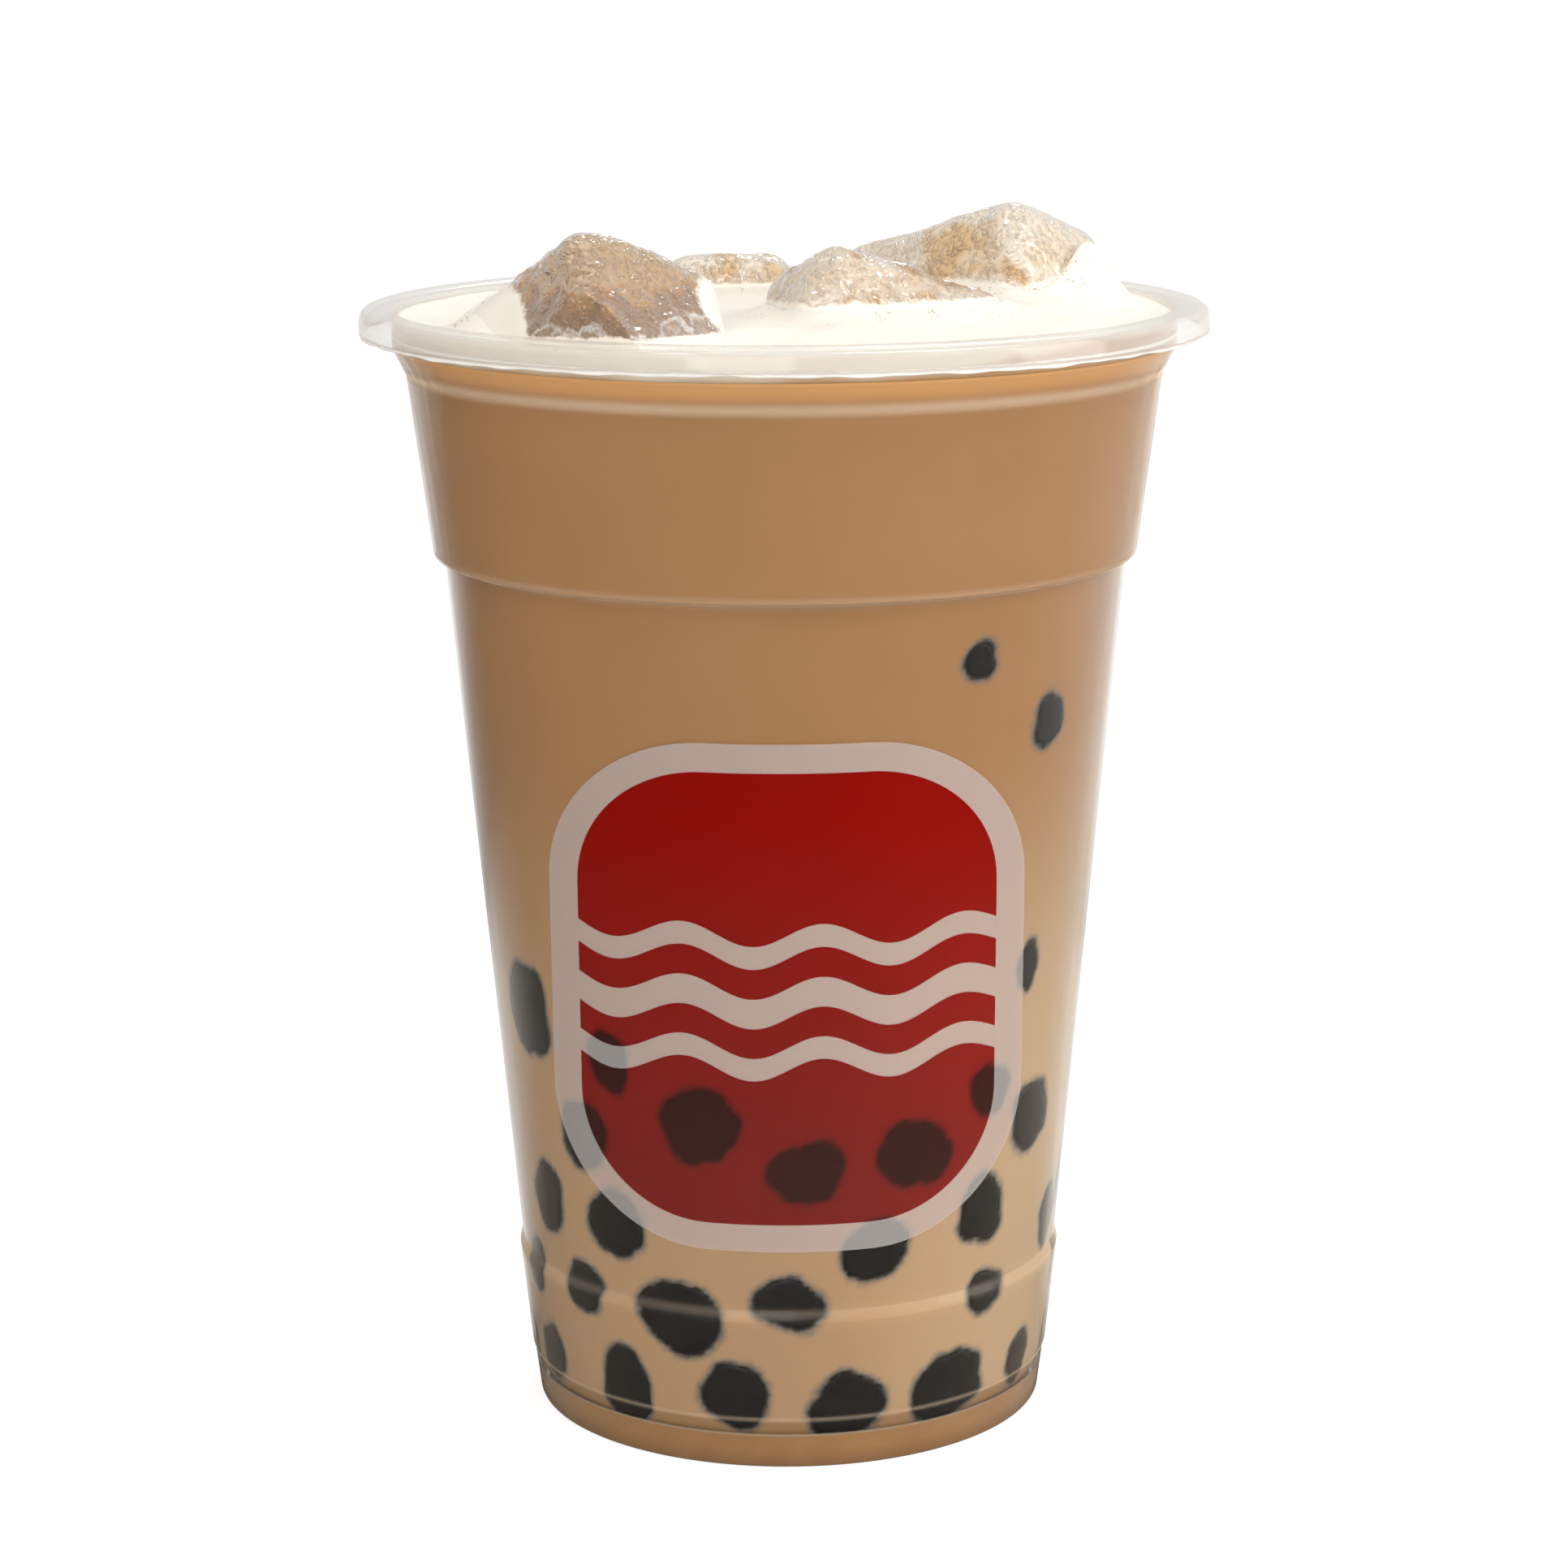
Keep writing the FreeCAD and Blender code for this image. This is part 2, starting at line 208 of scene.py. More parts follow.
def blend(tree, share, first, second):
    """A mix of two colours, each one a hex colour or a node's output."""
    first, second = (linear(c) if isinstance(c, str) else c for c in (first, second))
    node = add_node(
        tree, "ShaderNodeMix", {"Factor": share, "A": first, "B": second}, data_type="RGBA"
    )
    return node.outputs["Result"]


def mix_values(tree, share, first, second):
    node = add_node(tree, "ShaderNodeMix", {"Factor": share, "A": first, "B": second})
    return node.outputs["Result"]


def cloudiness(tree, place, scale, detail, **more):
    """Noise in features of about 1 / scale metres."""
    inputs = {"Vector": place, "Scale": scale, "Detail": detail, **more}
    return add_node(tree, "ShaderNodeTexNoise", inputs).outputs["Fac"]


def cells(tree, place, scale):
    """How far each place is from the middle of its cell, 1 / scale metres wide."""
    node = add_node(tree, "ShaderNodeTexVoronoi", {"Vector": place, "Scale": scale})
    return node.outputs["Distance"]


def how_far(tree, value, level):
    """How far a value is from a level, either way."""
    return calc(tree, "ABSOLUTE", calc(tree, "SUBTRACT", value, level))


def stored(tree, name):
    """A value that is stored on the mesh."""
    return add_node(tree, "ShaderNodeAttribute", attribute_name=name).outputs["Fac"]


def along(tree, place, axis):
    return add_node(tree, "ShaderNodeSeparateXYZ", {0: place}).outputs[axis]


def new_material(name):
    """A material, its empty node tree and the place on the object, in metres."""
    material = bpy.data.materials.new(name)
    material.use_nodes = True
    tree = material.node_tree
    tree.nodes.clear()
    return material, tree, add_node(tree, "ShaderNodeTexCoord").outputs["Object"]


SPECULAR = "Specular IOR Level"


def principled(tree, colour, roughness, more):
    """A Principled surface; more holds its other inputs."""
    inputs = {"Base Color": colour, "Roughness": roughness, **more}
    return add_node(tree, "ShaderNodeBsdfPrincipled", inputs)


def mix_shaders(tree, share, first, second):
    return add_node(
        tree, "ShaderNodeMixShader", {0: share, 1: first.outputs[0], 2: second.outputs[0]}
    )


def finished(material, surface):
    add_node(material.node_tree, "ShaderNodeOutputMaterial", {"Surface": surface.outputs[0]})
    return material


def add_object(name, data):
    added = bpy.data.objects.new(name, data)
    bpy.context.scene.collection.objects.link(added)
    return added


def new_mesh(name, points, faces=()):
    """A mesh whose points are given in millimetres."""
    mesh = bpy.data.meshes.new(name)
    mesh.from_pydata((np.asarray(points, float) * MM).tolist(), [], faces)
    return mesh


def make_piece(name, points, faces, material, slot, smooth=True):
    """A visible piece of the part, with its material in one slot; the slot argument is not used.
    """
    mesh = new_mesh(name, points, faces)
    mesh.polygons.foreach_set("use_smooth", [smooth] * len(mesh.polygons))
    mesh.materials.append(material)
    return place_piece(name, mesh)


def place_piece(name, mesh):
    face_outwards(mesh)
    piece = add_object(name, mesh)
    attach(piece, "root")
    return piece


def face_outwards(mesh):
    work = bmesh.new()
    work.from_mesh(mesh)
    bmesh.ops.recalc_face_normals(work, faces=work.faces)
    work.to_mesh(mesh)
    work.free()


def set_attribute(mesh, name, values):
    attribute = mesh.attributes.new(name, "FLOAT", "POINT")
    attribute.data.foreach_set("value", np.asarray(values, np.float32))


def rounded_line(corners, step):
    """Points through corners of (radius, height, rounding), no further apart than step."""
    points = [np.array(corners[0][:2], float)]
    for before, corner, after in zip(corners, corners[1:], corners[2:]):
        middle = np.array(corner[:2], float)
        back = np.array(before[:2], float) - middle
        ahead = np.array(after[:2], float) - middle
        back_length, ahead_length = np.linalg.norm(back), np.linalg.norm(ahead)
        back, ahead = back / back_length, ahead / ahead_length
        half = math.acos(float(np.clip(back @ ahead, -1, 1))) / 2
        reach = min(corner[2] / math.tan(half), 0.7 * back_length, 0.7 * ahead_length)
        start, end = middle + back * reach, middle + ahead * reach
        for share in np.linspace(0, 1, 7 if reach > 1e-3 else 1):
            points.append(
                (1 - share) ** 2 * start + 2 * share * (1 - share) * middle + share ** 2 * end
            )
    points.append(np.array(corners[-1][:2], float))
    line = [points[0]]
    for point in points[1:]:
        gap = np.linalg.norm(point - line[-1])
        if gap < 1e-4:
            continue
        count = max(1, math.ceil(gap / step))
        start = line[-1]
        line += [start + (point - start) * k / count for k in range(1, count + 1)]
    return np.array(line)


def ring_faces(low, high, columns):
    """Faces between two closed rings of points that start at low and at high."""
    return [
        (low + a, low + (a + 1) % columns, high + (a + 1) % columns, high + a)
        for a in range(columns)
    ]


def cap_faces(tip, ring, columns):
    """Faces from one point to a closed ring of points."""
    return [(tip, ring + a, ring + (a + 1) % columns) for a in range(columns)]


def turn_round(line, segments):
    """A line of (radius, height) turned about the cup's axis; ends on the axis close it."""
    angles = np.arange(segments) * 2 * math.pi / segments
    line = np.asarray(line)
    rings = line[1:-1] if line[0, 0] < 1e-6 else line
    radius, height = rings[:, 0:1], rings[:, 1:2]
    points = np.stack([
        radius * np.sin(angles),
        -radius * np.cos(angles),
        np.broadcast_to(height, (len(rings), segments)),
    ], axis=-1).reshape(-1, 3)
    faces = []
    for row in range(len(rings) - 1):
        faces += ring_faces(row * segments, (row + 1) * segments, segments)
    if line[0, 0] < 1e-6:
        first, last = len(points), len(points) + 1
        points = np.vstack([points, [0, 0, line[0, 1]], [0, 0, line[-1, 1]]])
        faces += [face[::-1] for face in cap_faces(first, 0, segments)]
        faces += cap_faces(last, (len(rings) - 1) * segments, segments)
    return points, faces


def inner_radius(height):
    """Radius of the cup's inner face at a height."""
    heights = [FLOOR, HEEL, 17.6, 18.5, 99.7, 99.701, NECK, MOUTH, RIM]
    radii = [28.7, 29.45, 30.9, 30.55, 37.9, 39.1, 41.8, MOUTH_RADIUS, MOUTH_RADIUS]
    return np.interp(height, heights, radii)


# ---- Materials ----
# painted highlight lines at the wall's bends: height and breadth in metres, and how milky each
# line is
BEND_HIGHLIGHTS = [
    (0.1201, 0.0011, 0.46), (0.0994, 0.0011, 0.21), (0.0187, 0.0009, 0.09),
    (0.0059, 0.0005, 0.2), (0.12405, 0.00035, 0.9),
]
# stain in the ice from its foot up, and a painted highlight of a wet ridge as the pale layer at
# 0.16: share of the height, colour
ICE_LAYERS = [
    (0.10, "#B29A84"), (0.16, "#EFE8E0"), (0.22, "#AA8E76"), (0.42, "#A88B73"),
    (0.52, "#C89E74"), (0.62, "#CBAE8B"), (0.8, "#C8A984"),
]


def clear_polypropylene():
    """Thin injection-moulded polypropylene: clear face on, milky along edges, softly glossy."""
    material, tree, place = new_material("clear_moulded_polypropylene")
    height = along(tree, place, "Z")
    edge = add_node(tree, "ShaderNodeLayerWeight", {"Blend": 0.5}).outputs["Facing"]
    # only the face in air scatters and mirrors: the other one is wetted by the drink
    in_air = stored(tree, "in_air")
    # the milkiness of the plastic adds up where sight runs along the wall
    wall_haze = times(tree, calc(tree, "POWER", edge, 10.0), 1.15)
    in_band = ramp(tree, height, 0.0985, 0.0995)
    # condensation on the colder side of the band
    damp = ramp(tree, along(tree, place, "X"), -0.0366, -0.0398, 0.0, 0.2)
    wall_haze = calc(tree, "ADD", wall_haze, times(tree, damp, in_band))
    # faint upright streaks where water has run down the wall
    streak_place = vector(tree, "MULTIPLY", place, (420.0, 420.0, 24.0))
    streaks = cloudiness(tree, streak_place, 1.0, 3.0)
    wall_haze = times(tree, wall_haze, ramp(tree, streaks, 0.3, 0.7, 0.1, 1.9))
    thick = calc(tree, "POWER", edge, 3.0)
    # low down, where the wall is thicker, it is milkier
    lower = ramp(tree, height, 0.095, 0.045, 0.0, 0.35, smooth=True)
    wall_haze = calc(tree, "MULTIPLY_ADD", thick, lower, wall_haze)
    rim_haze = ramp(tree, thick, 0.0, 1.0, 0.16, 0.46)
    at_rim = ramp(tree, height, 0.1229, 0.1240)
    haze = mix_values(tree, at_rim, wall_haze, rim_haze)
    # each bend gets a soft warm milky line: a painted highlight for the light the bend catches
    bend_highlights = 0.0
    for level, spread, strength in BEND_HIGHLIGHTS:
        off = how_far(tree, height, level)
        bend_highlight = ramp(tree, off, 0.0, spread, strength, 0.0, smooth=True)
        bend_highlights = calc(tree, "ADD", bend_highlights, bend_highlight)
    haze = times(tree, calc(tree, "ADD", haze, bend_highlights), in_air)
    # share of the painted highlight lines: it warms the plastic's colour and lowers the gloss
    # there
    bent = calc(tree, "MULTIPLY", bend_highlights, 5.0, clamp=True)
    plastic = blend(tree, at_rim, "#F0DFC6", "#FAF5EC")
    highlight_colour = blend(tree, at_rim, "#FADFBE", "#FFFCF5")
    plastic = blend(tree, bent, plastic, highlight_colour)
    # painted shade: the foot ring is drawn opaque in the dim tan of the table shaded by the drink
    # above, as seen through the ring
    at_foot = ramp(tree, height, 0.0042, 0.0038, 0.0, 0.97)
    # painted contact shadow, darkest where the ring meets the table
    contact_shadow = ramp(tree, height, 0.0022, 0.0002, 0.0, 0.5)
    painted_foot_shade = blend(tree, cloudiness(tree, place, 240.0, 2.0), "#A67D51", "#966B41")
    painted_foot_shade = blend(tree, times(tree, thick, 0.5), painted_foot_shade, "#E9DECF")
    painted_foot_shade = blend(tree, contact_shadow, painted_foot_shade, "#6B4B32")
    milky = blend(tree, at_foot, plastic, painted_foot_shade)
    share = calc(tree, "MAXIMUM", haze, at_foot, clamp=True)
    # the skirt's edge gathers the colour of the drink in a thin, wavy line
    wavy = calc(tree, "MULTIPLY_ADD", streaks, 0.0004, height)
    gathered = ramp(tree, how_far(tree, wavy, 0.12469), 0.00018, 0.00006, 0.0, 0.55)
    gathered = times(tree, gathered, stored(tree, "skirt"))
    milky = blend(tree, gathered, milky, "#8A6748")
    share = calc(tree, "MAXIMUM", share, gathered)
    clear = add_node(tree, "ShaderNodeBsdfTransparent", {"Color": linear("#FDFDFC")})
    cloud = add_node(tree, "ShaderNodeBsdfDiffuse", {"Color": milky})
    body = mix_shaders(tree, share, clear, cloud)
    # Schlick's rule for polypropylene, IOR 1.49, the same from both sides of the thin wall
    mirror = calc(tree, "POWER", edge, 5.0)
    gloss_share = ramp(tree, mirror, 0.0, 1.0, 0.039, 0.9)
    # the damp band, the painted highlight lines at the bends and the stacking ring mirror less
    in_damp = ramp(tree, in_band, 0.0, 1.0, 1.0, 0.55)
    unbent = ramp(tree, bent, 0.0, 1.0, 1.0, 0.25)
    off_ring = ramp(tree, how_far(tree, height, 0.0183), 0.0007, 0.0017, 0.3, 1.0)
    gloss_share = times(tree, gloss_share, in_air, in_damp, unbent, off_ring)
    gloss = add_node(tree, "ShaderNodeBsdfGlossy", {"Roughness": 0.09})
    surface = mix_shaders(tree, gloss_share, body, gloss)
    return finished(material, surface)


def milk_tea():
    """Black tea with milk: opaque and even, with painted light that makes it a little lighter and
    yellower under the foam and paler low on the lit side, and painted shade at the heel.
    """
    material, tree, place = new_material("milk_tea")
    height = along(tree, place, "Z")
    lit_under_foam = ramp(tree, height, 0.1196, 0.1224, smooth=True)
    settled = ramp(tree, height, 0.085, 0.035, smooth=True)
    clouds = cloudiness(tree, place, 60.0, 2.0)
    colour = blend(tree, clouds, "#A77C53", "#B1855B")
    colour = blend(tree, settled, colour, "#BD9974")
    # painted light: under the foam the tea is drawn lighter and yellower, for light let through
    # the foam and rim
    colour = blend(tree, lit_under_foam, colour, "#DEA66D")
    # painted light: low down on the lit side the tea is painted paler
    lit_side_share = ramp(tree, along(tree, place, "X"), 0.006, 0.032)
    colour = blend(tree, times(tree, lit_side_share, settled), colour, "#D0B18D")
    # painted shade: below the heel the tea is drawn darker, running on into the painted shade of
    # the foot ring
    shaded_heel = ramp(tree, height, 0.0057, 0.0053)
    colour = blend(tree, shaded_heel, colour, "#AE8861")
    # milk thinner than a few tenths of a millimetre lets the dark balls show, greyish blue
    milk = stored(tree, "milk_depth")
    swirls = cloudiness(tree, place, 850.0, 2.0)
    ragged = ramp(tree, swirls, 0.0, 1.0, -0.25, 0.25)
    # the raggedness is in the milk's edge, not where a ball lies against the wall
    at_edge = ramp(tree, milk, 0.06, 0.3)
    milk = calc(tree, "ADD", milk, times(tree, ragged, at_edge))
    veil = ramp(tree, milk, 0.07, 0.95, smooth=True)
    shade = ramp(tree, milk, 0.07, 0.5, smooth=True)
    seen_ball = blend(tree, shade, "#2A2927", "#5F6768")
    colour = blend(tree, veil, seen_ball, colour)
    return finished(material, principled(tree, colour, 0.5, {SPECULAR: 0.1}))


def cooked_tapioca():
    """Boiled tapioca pearls with brown sugar: nearly black, slightly mottled."""
    material, tree, place = new_material("cooked_tapioca")
    mottle = cloudiness(tree, place, 420.0, 4.0)
    colour = blend(tree, mottle, "#211F1E", "#322F2C")
    return finished(material, principled(tree, colour, 0.45, {SPECULAR: 0.2}))


def cream_foam():
    """Whipped milk foam: nearly white and matt, with fine bubbles and specks of tea by the ice."""
    material, tree, place = new_material("cream_foam")
    drift = cloudiness(tree, place, 70.0, 3.0)
    colour = blend(tree, drift, "#FAEFDF", "#FEF7EC")
    near_ice = stored(tree, "near_ice")
    specks = cells(tree, place, 1300.0)
    patches = cloudiness(tree, place, 260.0, 2.0)
    speck = ramp(tree, specks, 0.3, 0.18)
    patch = ramp(tree, patches, 0.5, 0.62)
    colour = blend(tree, times(tree, speck, patch, near_ice), colour, "#A98A66")
    colour = blend(tree, stored(tree, "soaked"), colour, "#C08F5E")
    bubbles = cells(tree, place, 1300.0)
    bump = add_node(
        tree, "ShaderNodeBump", {"Height": bubbles, "Strength": 0.12, "Distance": 0.0004}
    ).outputs[0]
    more = {SPECULAR: 0.3, "Normal": bump, "Subsurface Weight": 0.25, "Subsurface Scale": 0.002}
    return finished(material, principled(tree, colour, 0.55, more))


def melting_ice():
    """Wet, melting ice full of air bubbles, stained in layers by the tea, with painted highlights
    and shade, frothy at its foot.
    """
    material, tree, place = new_material("melting_ice")
    height = along(tree, place, "Z")
    warp = add_node(
        tree, "ShaderNodeTexNoise", {"Vector": place, "Scale": 260.0, "Detail": 3.0}
    )
    # layers of stain, a few millimetres thick and wavy, with one pale layer that is a painted
    # highlight
    wander = calc(tree, "MULTIPLY_ADD", warp.outputs["Fac"], 0.009, -0.0045)
    level = calc(tree, "ADD", height, wander)
    level = ramp(tree, level, 0.126, 0.136)
    layers = add_node(tree, "ShaderNodeValToRGB", {"Fac": level})
    stops = layers.color_ramp.elements
    for position, shade in ICE_LAYERS:
        stops.new(position).color = linear(shade)
    stops[0].color = linear("#CDBAA7")
    stops[len(stops) - 1].color = linear("#CAAE89")
    stains = cloudiness(tree, place, 130.0, 4.0, Roughness=0.55, Distortion=0.6)
    stain = ramp(tree, stains, 0.44, 0.64, smooth=True)
    golden = blend(tree, stain, "#F9EAD4", "#EDC794")
    amber = stored(tree, "amber")
    colour = blend(tree, amber, layers.outputs["Color"], golden)
    # painted shade: a darker line along the edges, for the dark refraction seen there
    edge = stored(tree, "edge")
    along_edge = times(tree, edge, stains)
    painted_dark_edge = ramp(tree, along_edge, 0.38, 0.6, 0.0, 0.6)
    colour = blend(tree, painted_dark_edge, colour, "#A17E5E")
    # air bubbles of 1 and 2 mm in uneven cells: a raised dome in the bump, which the lamps make
    # bright, ringed by painted brown shade in the hollow
    bent = add_node(
        tree, "ShaderNodeVectorMath", {0: warp.outputs["Color"], "Scale": 0.004}, operation="SCALE"
    ).outputs[0]
    uneven = vector(tree, "ADD", place, bent)
    relief = cloudiness(tree, place, 260.0, 1.5, Distortion=0.8)
    ring_place = ramp(tree, stain, 0.0, 1.0, 0.45, 1.0)
    for fineness, size, ring_share in ((520.0, 0.3, 0.35), (1250.0, 0.3, 0.55)):
        cell = cells(tree, uneven, fineness)
        dome = ramp(tree, cell, 0.42, 0.05, smooth=True)
        relief = calc(tree, "MULTIPLY_ADD", dome, size, relief)
        from_ring = how_far(tree, cell, 0.44)
        ring = ramp(tree, from_ring, 0.13, 0.0, 0.0, ring_share)
        ring = times(tree, ring, ring_place)
        # painted shade: a dark brown ring round each bubble
        colour = blend(tree, ring, colour, "#8E6B4D")
    bump = add_node(
        tree, "ShaderNodeBump", {"Height": relief, "Strength": 0.9, "Distance": 0.0009}
    ).outputs[0]
    # froth laps up the ice and thins out in fine bubbles
    foamed = stored(tree, "foamed")
    spray = cloudiness(tree, place, 900.0, 5.0, Roughness=0.75)
    lapped = calc(tree, "MULTIPLY_ADD", spray, 1.0, foamed)
    foam_share = ramp(tree, lapped, 0.78, 1.2, smooth=True)
    wet = principled(tree, colour, 0.06, {
        "IOR": 1.31, "Transmission Weight": 0.2, "Normal": bump,
        "Coat Weight": 1.0, "Coat Roughness": 0.03, "Coat Normal": bump,
    })
    foam = principled(tree, linear("#F8F0E2"), 0.6, {})
    surface = mix_shaders(tree, foam_share, wet, foam)
    return finished(material, surface)


def frosted_film():
    """Frosted vinyl film: half of the light goes through it, and comes back warm off the tea."""
    material, tree, place = new_material("frosted_vinyl_film")
    grain = cloudiness(tree, place, 2600.0, 2.0)
    colour = blend(tree, grain, "#C6C6C7", "#D7D7D8")
    through = add_node(tree, "ShaderNodeBsdfTransparent", {"Color": (1.0, 0.9, 0.79, 1.0)})
    film = principled(tree, colour, 0.45, {SPECULAR: 0.2})
    surface = mix_shaders(tree, 0.3, through, film)
    return finished(material, surface)


def red_vinyl():
    """Clear red vinyl: a deep red filter with a satin face, almost black over the tapioca."""
    material, tree, place = new_material("clear_red_vinyl")
    grain = cloudiness(tree, place, 1800.0, 2.0)
    red = blend(tree, grain, "#564A42", "#62564D")
    filter_ = add_node(tree, "ShaderNodeBsdfTransparent", {"Color": (0.91, 0.225, 0.225, 1.0)})
    film = principled(tree, red, 0.35, {SPECULAR: 0.3})
    # the ink lies thinner at the top and lets more of the drink through
    height = along(tree, place, "Z")
    ink = ramp(tree, height, 0.075, 0.035, 0.02, 0.22)
    surface = mix_shaders(tree, ink, filter_, film)
    return finished(material, surface)


# ---- Cup ----
CUP_SEGMENTS = 288


def make_cup():
    """The shell in one line, from the middle of its floor over the rim to the recess below."""
    corners = [(0.0, FLOOR, 0.0)] + INNER_WALL
    corners += [
        (MOUTH_RADIUS, RIM, 0.9),
        (RIM_RADIUS, RIM, 1.4),
        (RIM_RADIUS, 123.8, 0.2),
        (RIM_RADIUS - WALL, 123.8, 0.2),
        (RIM_RADIUS - WALL, RIM - WALL, 0.9),
        (43.9, RIM - WALL, 0.2),
    ]
    corners += OUTER_WALL + [(28.3, 0.0, 0.2), (28.3, 3.0, 0.3), (0.0, 3.0, 0.0)]
    line = rounded_line(corners, 3.0)
    points, faces = turn_round(line, CUP_SEGMENTS)
    # the cut edge of the rim's skirt isn't quite even
    around = np.arctan2(points[:, 0], -points[:, 1])
    uneven = sum(0.05 * np.sin(k * around + 1.7 * k) for k in (5, 13, 29, 53))
    low = np.clip((125.0 - points[:, 2]) / 1.0, 0, 1)
    skirt = (np.hypot(points[:, 0], points[:, 1]) > 45.5) * low
    points[:, 2] += skirt * (0.22 + uneven)
    cup = make_piece("cup_shell", points, faces, clear_polypropylene(), "cup_plastic")
    in_air = (np.arange(len(line)) >= np.argmax(line[:, 1] > 125.8)).astype(float)
    around_each = np.repeat(in_air[1:-1], CUP_SEGMENTS)
    set_attribute(cup.data, "skirt", np.hypot(points[:, 0], points[:, 1]) > RIM_RADIUS - 0.2)
    set_attribute(cup.data, "in_air", np.append(around_each, in_air[[0, -1]]))
    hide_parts("cup")


# ---- Tapioca: flattened, uneven balls pressed against the wall ----
def tapioca_places():
    """The measured balls at the front and made-up ones round the back, as rows like TAPIOCA's."""
    chance = np.random.default_rng(11)
    places = list(TAPIOCA)
    for level, count in TAPIOCA_BEHIND:
        for k in range(count):
            share = (k + 0.5 + chance.uniform(-0.28, 0.28)) / count
            width, tall = chance.uniform(6.4, 8.6), chance.uniform(6.4, 8.4)
            places.append((78.0 + share * 204.0, level + chance.uniform(-1.3, 1.3), width, tall))
    return places


def tapioca_tree(material):
    """Geometry Nodes: a lumpy ball on every point, turned and sized by the point's attributes."""
    tree = bpy.data.node_groups.new("tapioca_balls", "GeometryNodeTree")
    for name, kind, value in (
        ("Geometry", "NodeSocketGeometry", None),
        ("Segments", "NodeSocketInt", 48),
        ("Lump Size", "NodeSocketFloat", 0.005),
        ("Lump Height", "NodeSocketFloat", 0.0019),
        ("Seed", "NodeSocketFloat", 3.0),
    ):
        socket = tree.interface.new_socket(name, in_out="INPUT", socket_type=kind)
        if value is not None:
            socket.default_value = value
    tree.interface.new_socket("Geometry", in_out="OUTPUT", socket_type="NodeSocketGeometry")
    given = add_node(tree, "NodeGroupInput").outputs
    turn = add_node(
        tree, "GeometryNodeInputNamedAttribute", {"Name": "ball_turn"}, data_type="FLOAT_VECTOR"
    )
    size = add_node(
        tree, "GeometryNodeInputNamedAttribute", {"Name": "ball_size"}, data_type="FLOAT_VECTOR"
    )
    rings = calc(tree, "DIVIDE", given["Segments"], 2.0)
    ball = add_node(
        tree, "GeometryNodeMeshUVSphere",
        {"Segments": given["Segments"], "Rings": rings, "Radius": 1.0},
    )
    balls = add_node(
        tree, "GeometryNodeInstanceOnPoints",
        {
            "Points": given["Geometry"], "Instance": ball.outputs["Mesh"],
            "Rotation": turn.outputs["Attribute"], "Scale": size.outputs["Attribute"],
        },
    )
    real = add_node(tree, "GeometryNodeRealizeInstances", {"Geometry": balls.outputs[0]})
    fineness = calc(tree, "DIVIDE", 1.0, given["Lump Size"])
    lumps = add_node(
        tree, "ShaderNodeTexNoise",
        {"Scale": fineness, "W": given["Seed"], "Detail": 3.0, "Roughness": 0.42},
        noise_dimensions="4D",
    )
    centred = calc(tree, "SUBTRACT", lumps.outputs["Fac"], 0.5)
    lift = times(tree, centred, given["Lump Height"], 2.0)
    normal = add_node(tree, "GeometryNodeInputNormal")
    offset = add_node(
        tree, "ShaderNodeVectorMath", {0: normal.outputs[0], "Scale": lift}, operation="SCALE"
    )
    lumpy = add_node(
        tree, "GeometryNodeSetPosition",
        {"Geometry": real.outputs[0], "Offset": offset.outputs[0]},
    )
    smooth = add_node(tree, "GeometryNodeSetShadeSmooth", {0: lumpy.outputs[0]})
    coloured = add_node(
        tree, "GeometryNodeSetMaterial", {"Geometry": smooth.outputs[0], "Material": material}
    )
    add_node(tree, "NodeGroupOutput", {"Geometry": coloured.outputs[0]})
    return tree


def make_tapioca():
    """All balls as one piece, sunk in the drink and pressed against the wall."""
    places = tapioca_places()
    centres, turns, sizes = [], [], []
    # the wall cuts each ball this much wider than the face that shows
    grow = 1.0 / math.sqrt(1 - BALL_INSET ** 2)
    for around, height, width, tall in places:
        angle = math.radians(around)
        half = (width + tall) / 4
        depth = half * 1.08 + 0.35
        inset = depth * BALL_INSET
        radius = float(inner_radius(height)) + INTO_WALL - inset
        centres.append((radius * math.sin(angle), -radius * math.cos(angle), height))
        outwards = Vector((math.sin(angle), -math.cos(angle), 0))
        turns.append(outwards.to_track_quat("Z", "Y").to_euler())
        sizes.append(((width / 2 - 0.3) * grow, (tall / 2 - 0.3) * grow, depth))
    mesh = new_mesh("tapioca_points", centres)
    for name, values in (("ball_turn", turns), ("ball_size", np.array(sizes) * MM)):
        attribute = mesh.attributes.new(name, "FLOAT_VECTOR", "POINT")
        rows = np.array([tuple(v) for v in values], np.float32)
        attribute.data.foreach_set("vector", rows.ravel())
    seeds = add_object("tapioca_points", mesh)
    material = cooked_tapioca()
    modifier = seeds.modifiers.new("balls", "NODES")
    modifier.node_group = tapioca_tree(material)
    bpy.context.view_layer.update()
    evaluated = seeds.evaluated_get(bpy.context.evaluated_depsgraph_get())
    balls = bpy.data.meshes.new_from_object(evaluated)
    seeds.modifiers.remove(modifier)
    bpy.data.objects.remove(seeds)
    press_against_cup(balls)
    balls.name = "tapioca"
    if not balls.materials:
        balls.materials.append(material)
    return place_piece("tapioca", balls)


def press_against_cup(mesh):
    """Flattens the balls where they would go through the wall or the floor."""
    points = np.zeros(len(mesh.vertices) * 3, np.float32)
    mesh.vertices.foreach_get("co", points)
    points = points.reshape(-1, 3).astype(float) / MM
    points[:, 2] = np.maximum(points[:, 2], FLOOR - 0.2)
    radius = np.hypot(points[:, 0], points[:, 1])
    limit = inner_radius(points[:, 2]) + INTO_WALL + BALL_INTO_DRINK
    share = np.minimum(1.0, limit / radius)
    points[:, :2] *= share[:, None]
    mesh.vertices.foreach_set("co", (points * MM).astype(np.float32).ravel())
    mesh.update()


